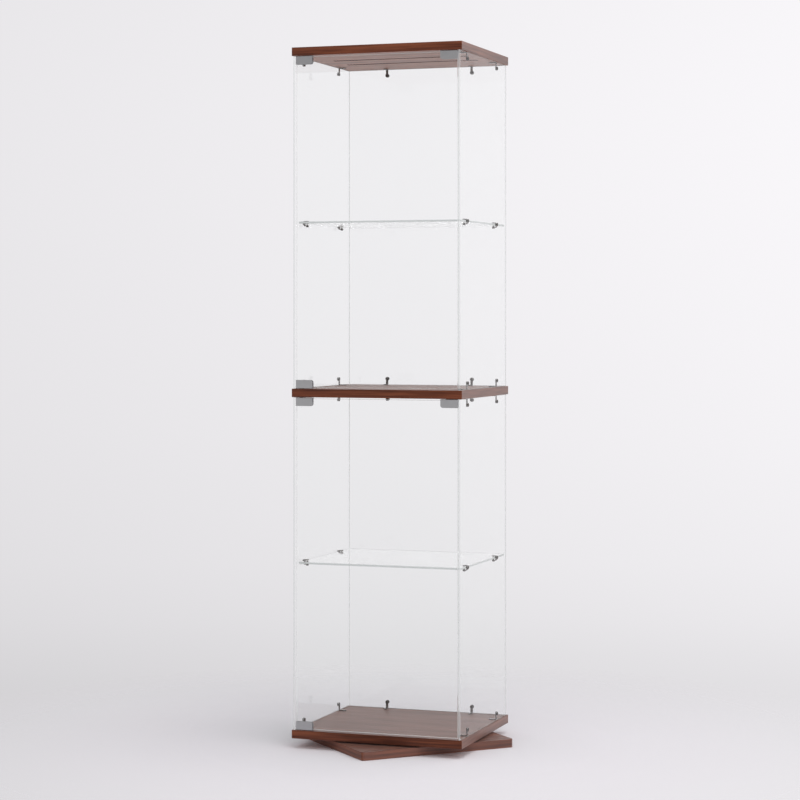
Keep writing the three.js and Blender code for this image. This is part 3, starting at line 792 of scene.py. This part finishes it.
class CABINET_OT_turntable(bpy.types.Operator):
    """Add the two turntable rings, their screws and the ball cage"""
    bl_idname = "cabinet.turntable"
    bl_label = "Turntable"

    def execute(self, context):
        low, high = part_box("turntable_lower_ring")
        under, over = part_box("turntable_upper_ring")
        cage_low, cage_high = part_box("turntable_ball_cage")
        inner, rim, lip, plate, lip_height, gap, web_width = mm(84, 2, 3, 2.6, 1.2, 1, 1.6)
        bevel, thin, fillet, chamfer, web_edge = mm(0.6, 0.3, 0.5, 0.8, 0.4)
        outer, top = high.x, low.z + plate
        lip_top, lip_low = high.z, high.z - lip_height
        wall, hook = inner + rim, inner + rim + lip
        screw_circle, screw_radius, screw_height = mm(98, 3.4, 1.6)
        section = [
            (inner, low.z), (outer - bevel, low.z), (outer, low.z + bevel), (outer, top - bevel),
            (outer - bevel, top), *race_groove(top, -RACE_DEPTH), (wall + fillet, top),
            (wall, top + fillet), (wall, lip_low - thin), (wall + thin, lip_low), (hook, lip_low),
            (hook, lip_top - thin), (hook - thin, lip_top), (inner + chamfer, lip_top),
            (inner, lip_top - chamfer)]
        parts = [(hoop(section), HERE, 0)]
        for i in range(4):
            spot = at(turn=math.radians(45 + 90 * i)) @ at(screw_circle, 0, top)
            parts.append((pan_head(screw_radius, screw_height), spot, 1))
        finishes = ("zinc_plate", "nickel_plate")
        build("turntable_lower", parts, finishes, "base", "zinc", "turntable_lower_ring")

        web, catch = hook + gap, wall + gap
        catch_top, ledge = lip_low - gap, over.z - plate
        heel = web + web_width
        section = [
            (web, over.z), (web, catch_top), (catch, catch_top), (catch, under.z + thin),
            (catch + thin, under.z), (heel - web_edge, under.z), (heel, under.z + web_edge),
            (heel, ledge - web_edge), (heel + web_edge, ledge), *reversed(race_groove(ledge, RACE_DEPTH)),
            (outer - bevel, ledge), (outer, ledge + bevel), (outer, over.z - bevel), (outer - bevel, over.z)]
        parts = [(hoop(section), HERE, 0)]
        build("turntable_upper", parts, ["zinc_plate"], "case", "zinc", "turntable_upper_ring")

        half, thick, ball_radius = mm(5.5, 0.6, 2.5)
        level = (cage_low.z + cage_high.z) / 2
        section = [(RACE_RADIUS + x * half, level + z * thick)
                   for x, z in ((-1, -1), (1, -1), (1, 1), (-1, 1))]
        parts = [(hoop(section), HERE, 0)]
        first = math.pi / (2 * BALLS)
        reach = RACE_RADIUS * math.cos(first)
        for i in range(BALLS):
            ball = bmesh.new()
            bmesh.ops.create_uvsphere(ball, u_segments=20, v_segments=12, radius=ball_radius)
            parts.append((ball, at(turn=first + i * math.tau / BALLS) @ at(reach, 0, level), 1))
        finishes = ("dark_plastic", "nickel_plate")
        build("ball_cage", parts, finishes, "ball_cage", "cage_plastic", "turntable_ball_cage")
        return {"FINISHED"}


def pane(node, axis, arris, bolts=()):
    """A pane with ground edges and round bolt holes, where a CAD pane is. The axis is the one across it."""
    low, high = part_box(node)
    middle, size = (low + high) / 2, high - low
    u, v = [i for i in range(3) if i != axis]
    holes = [circle(BORE_RADIUS, spot[u] - middle[u], spot[v] - middle[v], 24) for spot in bolts]
    half, (corner, bore_edge) = size[axis] / 2, mm(1.2, 0.4)
    outline = rounded_rectangle(size[u], size[v], corner, steps=3)
    shape = dressed(slab(outline, -half, half, arris, 1, holes, bore_edge), 0, 1, 2, 3)
    turn = Matrix.Identity(3)
    for column, target in enumerate((u, v, axis)):
        turn.col[column] = [float(row == target) for row in range(3)]
    return shape, at(*middle) @ turn.to_4x4()


class CABINET_OT_glass(bpy.types.Operator):
    """Add the fixed walls, the shelves and the glass of the doors"""
    bl_idname = "cabinet.glass"
    bl_label = "Glass"

    def execute(self, context):
        for level in LEVELS:
            bores = {}
            for wall in ("left", "right", "rear"):
                bores[f"{wall}_wall"] = bolts = []
                for number in (1, 2):
                    for end, z in (("bottom", FLOOR[level] + BRACKET_BOLT),
                                   ("top", CEILING[level] - BRACKET_BOLT)):
                        spot = middle_of(f"{level}_{wall}_wall_{end}_bracket_{number}")
                        bolts.append((spot.x, spot.y, z))
                    if wall != "rear":
                        spot = middle_of(f"{level}_shelf_{wall}_clip_{number}")
                        bolts.append((spot.x, spot.y, middle_of(f"{level}_shelf_glass").z))
            across = {"left_wall": 0, "right_wall": 0, "rear_wall": 1, "shelf": 2, "door": 1}
            for piece, axis in across.items():
                node, name = f"{level}_{piece}_glass", piece.split("_")[0]
                shape, matrix = pane(node, axis, context.scene.cabinet_glass.arris, bores.get(piece, ()))
                body = f"{level}_door" if piece == "door" else "case"
                edges = ("shelf_edge", "shelf_edge") if piece == "shelf" else ("wall_edge", "level_edge")
                finishes = ("clear_glass", "ground_arris", *edges)
                build(f"{level}_{name}_pane", [(shape, matrix, 0)], finishes, body, "glass", node)
        return {"FINISHED"}


def arm_width(distance, radius, neck):
    """Half width of a strap at a distance from its round tip."""
    if distance >= radius + math.sqrt(radius ** 2 - neck ** 2):
        return neck
    return math.sqrt(max(radius ** 2 - (radius - distance) ** 2, 0))


def bracket_strap():
    """The strap of a wall bracket: foot on the board along X, leg on the glass along Z."""
    middle, half, bend, length, tip, neck = mm(1.3, 1, 1.8, 20, 4.5, 3)
    distances = [tip * (1 - math.cos(math.radians(a))) for a in range(10, 141, 10)]
    foot = [(length - d, middle, 0, 1, arm_width(d, tip, neck), half) for d in distances]
    corner = middle + bend
    curve = [(corner - bend * math.sin(t), corner - bend * math.cos(t), math.sin(t), math.cos(t), neck, half)
             for t in (math.radians(a) for a in range(0, 91, 15))]
    leg = [(middle, x, 1, 0, width, depth) for x, _, _, _, width, depth in reversed(foot)]
    return strip(foot + curve + leg)


class CABINET_OT_brackets(bpy.types.Operator):
    """Add the twenty-four wall brackets with their screws and bolts"""
    bl_idname = "cabinet.brackets"
    bl_label = "Wall brackets"

    def execute(self, context):
        face = 2.3 * MM
        parts = [
            (bracket_strap(), HERE, 0),
            *board_screw((0, 0, 1), (BRACKET_BOLT, 0, face), face, 0),
            (pan_head(HEAD_RADIUS, HEAD_HEIGHT), along((1, 0, 0), (face, 0, BRACKET_BOLT)), 0),
            *glass_bolt(face, BRACKET_BOLT),
        ]
        mesh = joined_mesh("wall_bracket", parts, "nickel_plate")
        turns = {"left": 0, "right": math.pi, "rear": -math.pi / 2}
        for level in LEVELS:
            for wall, turn in turns.items():
                for end, z, tilt in (("bottom", FLOOR[level], 0), ("top", CEILING[level], math.pi)):
                    for number in (1, 2):
                        node = f"{level}_{wall}_wall_{end}_bracket_{number}"
                        spot = middle_of(node)
                        x = {"left": -WALL_INNER_X, "right": WALL_INNER_X, "rear": spot.x}[wall]
                        y = WALL_INNER_Y if wall == "rear" else spot.y
                        matrix = at(x, y, z, turn) @ Matrix.Rotation(tilt, 4, "X")
                        place(f"{node}_fitting", mesh, "case", "nickel", [node], matrix)
        return {"FINISHED"}


def clip_fork(length):
    """The bent fork of a shelf clip: jaw over the shelf, back on the wall, arm under the shelf."""
    jaw, arm, back, width, thick, thin, bend, tip = mm(3.9, -6.6, 1.2, 4.5, 1.1, 0.9, 1.5, 1.6)
    turns = [(math.sin(a), math.cos(a)) for a in (math.radians(a) for a in range(0, 91, 15))]
    ends = [(tip * (1 - c), width - tip + tip * s) for s, c in turns]
    upper = [(length - d, jaw, 0, 1, w, thick) for d, w in ends]
    corner = back + bend
    first = [(corner - bend * s, jaw - bend + bend * c, -s, c, width, thick + (thin - thick) * s)
             for s, c in turns]
    second = [(corner - bend * c, arm + bend - bend * s, -c, -s, width, thin + (thick - thin) * s)
              for s, c in turns]
    lower = [(length - d, arm, 0, -1, w, thick) for d, w in reversed(ends)]
    return strip(upper + first + second + lower)


class CABINET_OT_shelf_clips(bpy.types.Operator):
    """Add the eight shelf clips with their clamp screws and bolts"""
    bl_idname = "cabinet.shelf_clips"
    bl_label = "Shelf clips"

    def execute(self, context):
        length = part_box("lower_shelf_left_clip_1")[1].x + WALL_INNER_X
        knob, groove, knob_low, bevel, arm_low, pad, bolt_end = mm(3, 0.22, -9.9, 0.3, -7.7, -3.8, 1)
        clamp = at(length - knob)
        knurl = slab(knurled_circle(knob, groove, 20), knob_low, arm_low + SUNK, bevel, 2)
        parts = [
            (clip_fork(length), HERE, 0),
            (knurl, clamp, 0),
            (rod(SHANK_RADIUS, arm_low, pad, 24), clamp, 0),
            (lathe(mm((0, -3.8), (2, -3.8), (2, -3), (1.8, -2.8), (0, -2.8)), 24), clamp, 1),
            *glass_bolt(bolt_end),
        ]
        mesh = joined_mesh("shelf_clip", parts, "nickel_plate", "nylon")
        for level in LEVELS:
            shelf = middle_of(f"{level}_shelf_glass").z
            for wall, x, turn in (("left", -WALL_INNER_X, 0), ("right", WALL_INNER_X, math.pi)):
                for number in (1, 2):
                    node = f"{level}_shelf_{wall}_clip_{number}"
                    spot = at(x, middle_of(node).y, shelf, turn)
                    place(f"{node}_fitting", mesh, "case", "nickel", [node], spot)
        return {"FINISHED"}


def folded_clip():
    """The folded metal of a door clip along X, its bridge on top and its far lower corners rounded."""
    top, base, corner, inner, outer, bridge, fold, edge = mm(-0.9, -20.9, 6, 2.8, 5, 1.8, 1.2, 0.25)
    stations = [(0.0, base)]
    for t in (math.radians(a) for a in range(0, 91, 10)):
        stations.append((CLIP_LENGTH - corner + corner * math.sin(t), base + corner * (1 - math.cos(t))))
    bm = bmesh.new()
    rings = []
    for x, foot in stations:
        section = [(outer, foot)]
        section += turned_points(outer - fold, top - fold, fold, 0, 90, 4)
        section += turned_points(fold - outer, top - fold, fold, 90, 180, 4)
        section += [(-outer, foot), (-inner, foot), (-inner, top - bridge)]
        section += [(inner, top - bridge), (inner, foot)]
        rings.append([bm.verts.new((x, y, z)) for y, z in section])
    return soften(skinned(bm, rings, ends=True), edge, 50)


class CABINET_OT_door_clips(bpy.types.Operator):
    """Add the hinge clips and strike plates of the doors, and the bushes that the hinge pins turn in"""
    bl_idname = "cabinet.door_clips"
    bl_label = "Door clips"

    def execute(self, context):
        pivot, overhang = mm(12.5, 0.5)
        grub_radius, grub_height, grub_y, grub_z = mm(3, 1.4, 5, -10.9)
        left = DOOR_LOW.x - overhang
        pin = mm((0, -1.8), (5, -1.8), (5, -0.6), (4.7, -0.3), (2.5, -0.3), (2.5, 7.4), (1.9, 8), (0, 8))
        flange = mm((2.7, 0), (4.6, 0), (4.6, -0.2), (2.7, -0.2))
        sleeve = mm((2.7, 0), (3, 0), (3, 8.2), (2.7, 8.2))
        for end, mirror in (("top", HERE), ("bottom", Matrix.Diagonal((1, 1, -1, 1)))):
            parts = [(folded_clip(), mirror, 0)]
            for x in (pivot, CLIP_LENGTH - pivot):
                spot = mirror @ along((0, 1, 0), (x, grub_y, grub_z))
                parts.append((socket_head(grub_radius, grub_height), spot, 1))
            parts.append((lathe(pin), mirror @ at(pivot), 1))
            mesh = joined_mesh(f"hinge_clip_{end}", parts, "blasted_metal", "nickel_plate")
            bush = [(hoop(section, 32), mirror, 0) for section in (flange, sleeve)]
            bush_mesh = joined_mesh(f"hinge_bush_{end}", bush, "nylon")
            for level in LEVELS:
                z = CEILING[level] if end == "top" else FLOOR[level]
                node = f"{level}_door_{end}_hinge_clip"
                spot = at(left, DOOR_Y, z)
                place(f"{node}_fitting", mesh, f"{level}_door", "satin_metal", [node], spot)
                spot = at(left + pivot, DOOR_Y, z)
                place(f"{level}_{end}_hinge_bush", bush_mesh, "case", "latch_plastic", (), spot)
        strike = [(folded_clip(), Matrix.Diagonal((-1, 1, 1, 1)), 0)]
        mesh = joined_mesh("strike_plate", strike, "blasted_metal")
        for level in LEVELS:
            node = f"{level}_door_strike_plate"
            spot = at(DOOR_HIGH.x, DOOR_Y, CEILING[level])
            place(f"{node}_fitting", mesh, f"{level}_door", "satin_metal", [node], spot)
        return {"FINISHED"}


class CABINET_OT_latches(bpy.types.Operator):
    """Add the two push latches and their plungers"""
    bl_idname = "cabinet.latches"
    bl_label = "Push latches"

    def execute(self, context):
        width, height, corner, edge, mouth, lip = mm(16, 13, 1.6, 0.6, 4.2, 0.5)
        flange, flange_width, flange_depth, flange_corner, flange_edge, screw_x = mm(2, 32, 18, 3, 0.4, 12)
        rib_side, rib_width, rib_low, rib_gap, rib_edge, rib_start, rib_pitch = mm(0.3, 1.2, 2, 1, 0.2, 7, 3)
        back, back_y, stem, bevel = mm(1.4, 1.7, 3.7, 0.5)
        magnet_radius, magnet_low, magnet_high = mm(2.9, 0.02, 0.4)
        inward = Matrix.Rotation(-math.pi / 2, 4, "X")
        for level in LEVELS:
            low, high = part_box(f"{level}_latch_body")
            tip_low, tip_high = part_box(f"{level}_latch_plunger")
            x, middle = (low.x + high.x) / 2, (low.y + high.y) / 2
            roof = CEILING[level] - SEAT
            z = roof - height / 2
            shell = slab(rounded_rectangle(width, height, corner), 0, high.y - low.y, edge, 2,
                         [circle(mouth, steps=32)], lip)
            outline = rounded_rectangle(flange_width, flange_depth, flange_corner)
            wing = slab(outline, roof - flange, roof, flange_edge, 2)
            parts = [
                (shell, at(x, low.y, z) @ inward, 0),
                (rod(mouth, 0, back), at(x, high.y - back_y, z) @ inward, 0),
                (wing, at(x, middle), 0),
            ]
            for i in range(5):
                y = high.y - rib_start - i * rib_pitch
                reach = width / 2 + rib_side
                rib = rounded_block((x - reach, y, roof - height + rib_low),
                                    (x + reach, y + rib_width, roof - flange - rib_gap), rib_edge)
                parts.append((rib, HERE, 0))
            for side in (-1, 1):
                parts += board_screw((0, 0, -1), (x + side * screw_x, middle, roof - flange), flange, 1)
            finishes = ("dark_plastic", "nickel_plate")
            build(f"{level}_latch", parts, finishes, "case", "latch_plastic", f"{level}_latch_body")
            length = tip_high.y - tip_low.y
            profile = mm((0, 0.1), (3.1, 0.1), (3.1, 0), (4.7, 0), (5, 0.3), (5, 2), (4.6, 2.4), (3.7, 2.4))
            profile += [(stem, length - bevel), (stem - bevel, length), (0, length)]
            spot = at(x, tip_low.y, z) @ inward
            parts = [(lathe(profile), spot, 0), (rod(magnet_radius, magnet_low, magnet_high), spot, 1)]
            finishes, node = ("nylon", "nickel_plate"), f"{level}_latch_plunger"
            build(f"{level}_plunger", parts, finishes, f"{level}_latch", "plunger_steel", node)
        return {"FINISHED"}


def world_nodes(world, level):
    """A studio backdrop for what is seen, and a plain level for what is lit."""
    world.use_nodes = True
    w = Nodes(world.node_tree)
    w.tree.nodes.clear()
    way = w.node("TexCoord").outputs["Generated"]
    toward = w.split(way)
    # Each pair is a height on the backdrop and how bright it is there
    heights = ((-0.25, 0.78), (-0.2, 0.76), (-0.18, 0.735), (-0.162, 0.708), (-0.15, 0.722), (-0.13, 0.775),
               (-0.105, 0.808), (-0.05, 0.845), (0.03, 0.876), (0.09, 0.885), (0.15, 0.872))
    low, high = heights[0][0], heights[-1][0]
    stops = [((z - low) / (high - low), (value, 0.983 * value, 1.009 * value)) for z, value in heights]
    wall = w.ramp(w.ranged(toward["Z"], low, high), stops, "B_SPLINE")
    across = w.node("VectorMath", {0: way, 1: (0.9434, 0.3317, 0)}, operation="DOT_PRODUCT").outputs["Value"]
    slope = w.ranged(across, -0.18, 0.18, 0.925, 1.075)
    behind = w.node("VectorMath", {0: wall, "Scale": slope}, operation="SCALE").outputs["Vector"]
    front = w.ranged(toward["Z"], -0.2, 0.1, 1.0, 0.45)
    path = w.node("LightPath").outputs
    camera, glossy, through = [path[f"Is {ray} Ray"] for ray in ("Camera", "Glossy", "Transmission")]
    mirrored = w.math("MULTIPLY", w.ranged(toward["Y"], 0.1, -0.2), w.math("SUBTRACT", glossy, through, True))
    shown = w.node("Mix", {"Factor": mirrored, "A": behind, "B": front}, data_type="RGBA").outputs["Result"]
    seen = w.node("Background", {"Color": shown}).outputs["Background"]
    plain = w.node("Background", {"Color": (0.985, 0.975, 1.0, 1), "Strength": level}).outputs["Background"]
    any_seen = w.math("MAXIMUM", w.math("MAXIMUM", camera, glossy), through)
    w.node("OutputWorld", {"Surface": w.mixed(any_seen, plain, seen)})


class CABINET_OT_stage(bpy.types.Operator):
    """Add the studio floor, the lamps, the backdrop and the camera"""
    bl_idname = "cabinet.stage"
    bl_label = "Studio"

    def execute(self, context):
        scene = context.scene
        settings = scene.cabinet_stage
        world = bpy.data.worlds.new("studio")
        scene.world = world
        world_nodes(world, settings.sky_level)

        f = Finish("studio_floor")
        f.set(Base_Color=(*settings.floor_colour, 1), Roughness=0.9, Specular_IOR_Level=0.1)
        reach = f.node("VectorMath", {0: f.place_of()}, operation="LENGTH").outputs["Value"]
        clear = f.node("BsdfTransparent").outputs["BSDF"]
        f.feed(f.output, {"Surface": f.mixed(f.ranged(reach, *FLOOR_FADE), f.shader.outputs["BSDF"], clear)})
        floor_mesh = bpy.data.meshes.new("studio_floor")
        bm = bmesh.new()
        bmesh.ops.create_circle(bm, cap_ends=True, segments=128, radius=FLOOR_RADIUS)
        bm.to_mesh(floor_mesh)
        bm.free()
        floor_mesh.materials.append(f.material)
        floor = linked("studio_floor", floor_mesh)

        aim = Vector((0, 0, 0.6))
        for name, power, spot in (("key", settings.key_power, (4.2, -4.0, 2.6)),
                                  ("top", settings.top_power, (1.2, -0.6, 4.4))):
            lamp = bpy.data.lights.new(name, "AREA")
            lamp.shape = "RECTANGLE"
            lamp.size, lamp.size_y = LAMP_WIDTH, LAMP_HEIGHT
            lamp.energy = power
            lamp.color = (1.0, 0.985, 0.99)
            box = linked(name, lamp)
            box.visible_glossy = False
            box.visible_transmission = False
            box.location = spot
            box.rotation_euler = (aim - box.location).to_track_quat("-Z", "Y").to_euler()

        camera = bpy.data.cameras.new("camera")
        camera.lens = settings.lens
        camera.sensor_width = 36
        camera.shift_y = settings.frame_shift
        camera.clip_start, camera.clip_end = 0.1, 60
        seat = linked("camera", camera)
        seat.location = CAMERA_SPOT
        seat.rotation_euler = (math.pi / 2, 0, CAMERA_TURN)
        scene.camera = seat
        scene.view_settings.view_transform = "Standard"
        return {"FINISHED"}


class CABINET_PT_panel(bpy.types.Panel):
    """Lists the pieces of the cabinet and their settings"""
    bl_idname = "CABINET_PT_panel"
    bl_label = "Revolving glass cabinet"
    bl_space_type = "VIEW_3D"
    bl_region_type = "UI"
    bl_category = "Cabinet"

    def draw(self, context):
        layout = self.layout
        for operator in OPERATORS:
            layout.operator(operator.bl_idname)
        for name in GROUPS:
            box = layout.box()
            group = getattr(context.scene, name)
            for prop in group.bl_rna.properties:
                if prop.identifier not in ("rna_type", "name"):
                    box.prop(group, prop.identifier)


GROUPS = {
    "cabinet_boards": BoardSettings,
    "cabinet_glass": GlassSettings,
    "cabinet_metal": MetalSettings,
    "cabinet_stage": StageSettings,
}
OPERATORS = (
    CABINET_OT_stage,
    CABINET_OT_boards,
    CABINET_OT_turntable,
    CABINET_OT_glass,
    CABINET_OT_brackets,
    CABINET_OT_shelf_clips,
    CABINET_OT_door_clips,
    CABINET_OT_latches,
)


CLASSES = (*GROUPS.values(), *OPERATORS, CABINET_PT_panel)


def register():
    for item in CLASSES:
        bpy.utils.register_class(item)
    for name, group in GROUPS.items():
        setattr(bpy.types.Scene, name, PointerProperty(type=group))


def unregister():
    for name in GROUPS:
        delattr(bpy.types.Scene, name)
    for item in reversed(CLASSES):
        bpy.utils.unregister_class(item)


def main():
    register()
    for operator in OPERATORS:
        folder, call = operator.bl_idname.split(".")
        getattr(getattr(bpy.ops, folder), call)()


if __name__ == "__main__":
    main()
